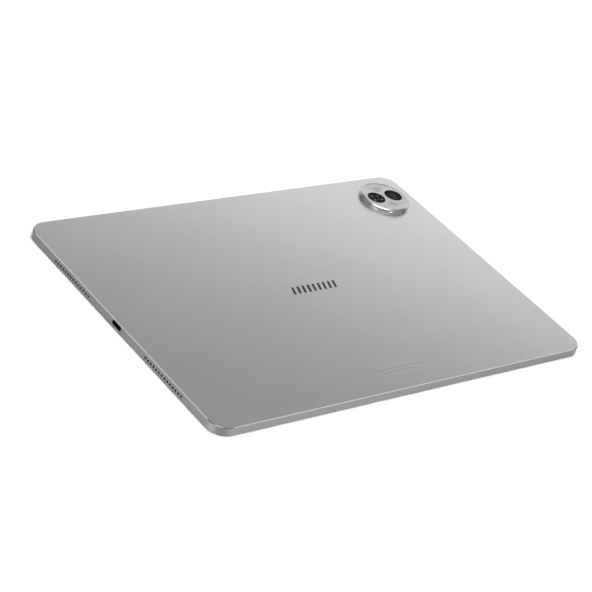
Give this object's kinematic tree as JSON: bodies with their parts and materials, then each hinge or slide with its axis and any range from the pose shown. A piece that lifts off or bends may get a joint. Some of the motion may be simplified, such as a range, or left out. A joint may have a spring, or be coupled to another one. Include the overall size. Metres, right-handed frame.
{
  "type": "tablet computer",
  "caption": "Flat tablet computer lying screen down, with an aluminium back, a round raised camera island and side keys.",
  "frame": {"origin": "centre of the outer face of the cover glass, which is the face it rests on", "axes": "+X along the long side from the charging port to the camera end; +Y along the short side towards the camera edge; +Z out of the back"},
  "size_m": [0.2942, 0.2017, 0.0087],
  "materials": {
    "shell_aluminium": "fine bead-blasted anodised satin, light silver grey",
    "trim_aluminium": "polished edge",
    "dish_aluminium": "fine satin anodised",
    "mark_grey": "dark grey inlay",
    "print_grey": "faint laser-etched grey",
    "screen_glass": "gloss black behind clear glass",
    "window_glass": "gloss black lens glass",
    "clear_film": "clear to milky film",
    "panel_glass": "thin liquid-crystal cell",
    "tray_steel": "thin pressed sheet",
    "white_film": "white reflector",
    "circuit_board": "dark green solder mask",
    "chip_black": "moulded epoxy",
    "flex_amber": "polyimide film",
    "battery_foil": "laminated pouch foil",
    "adhesive": "soft adhesive and gasket",
    "copper": "bare copper and gold plate",
    "graphite": "graphite film",
    "black_plastic": "moulded plastic",
    "port_steel": "drawn stainless shell",
    "magnet_nickel": "nickel plated"
  },
  "bodies": {
    "chassis": {"antennas": "flex_amber", "back_mark": "mark_grey", "backlight_tray": "tray_steel", "battery_adhesive_strips": "adhesive", "battery_cell_left": "battery_foil", "battery_cell_right": "battery_foil", "battery_protection_board": "circuit_board", "board_chips": "chip_black", "camera_flex": "flex_amber", "camera_module": "black_plastic", "camera_window": "window_glass", "cover_glass": "screen_glass", "display_driver_board": "circuit_board", "display_flex": "flex_amber", "display_gasket": "adhesive", "flash_led": "clear_film", "front_camera": "black_plastic", "graphite_sheet": "graphite", "grille_meshes": "port_steel", "housing": "shell_aluminium", "island_dish": "dish_aluminium", "island_ring": "trim_aluminium", "lcd_panel": "panel_glass", "led_strip": "circuit_board", "light_guide_plate": "clear_film", "light_sensor": "chip_black", "magnets": "magnet_nickel", "main_flex": "flex_amber", "mainboard": "circuit_board", "memory_chips": "chip_black", "microphones": "tray_steel", "optical_adhesive": "clear_film", "optical_film_stack": "clear_film", "port_board": "circuit_board", "port_contacts": "copper", "port_seal": "adhesive", "port_shell": "port_steel", "port_tongue": "black_plastic", "power_key_bracket": "tray_steel", "power_switch": "tray_steel", "processor": "chip_black", "reflector_sheet": "white_film", "screws": "tray_steel", "second_camera_module": "black_plastic", "sensor_window": "window_glass", "shield_cans": "tray_steel", "small_marks": "print_grey", "speaker_box_camera_end_far": "black_plastic", "speaker_box_camera_end_near": "black_plastic", "speaker_box_port_end_far": "black_plastic", "speaker_box_port_end_near": "black_plastic", "speaker_drivers": "black_plastic", "stylus_coil": "copper", "support_frame": "tray_steel", "thermal_pad": "adhesive", "volume_key_bracket": "tray_steel", "volume_switches": "tray_steel"},
    "power_key": {"power_key": "shell_aluminium"},
    "volume_rocker": {"volume_rocker": "shell_aluminium"},
    "lens_carriage": {"lens_carriage": "black_plastic"}
  },
  "joints": [
    {"name": "power_key_press", "type": "slide", "parent": "chassis", "child": "power_key", "axis": [-1, 0, 0], "range_m": [0, 0.00025], "stiffness_N_per_m": 4000},
    {"name": "volume_rocker_tilt", "type": "hinge", "parent": "chassis", "child": "volume_rocker", "pos_m": [0.098, 0.09959, 0.0031], "axis": [0, 0, 1], "range_deg": [-1.2, 1.2], "stiffness_Nm_per_rad": 0.8},
    {"name": "autofocus_slide", "type": "slide", "parent": "chassis", "child": "lens_carriage", "axis": [0, 0, 1], "range_m": [0, 0.0003], "stiffness_N_per_m": 100}
  ]
}
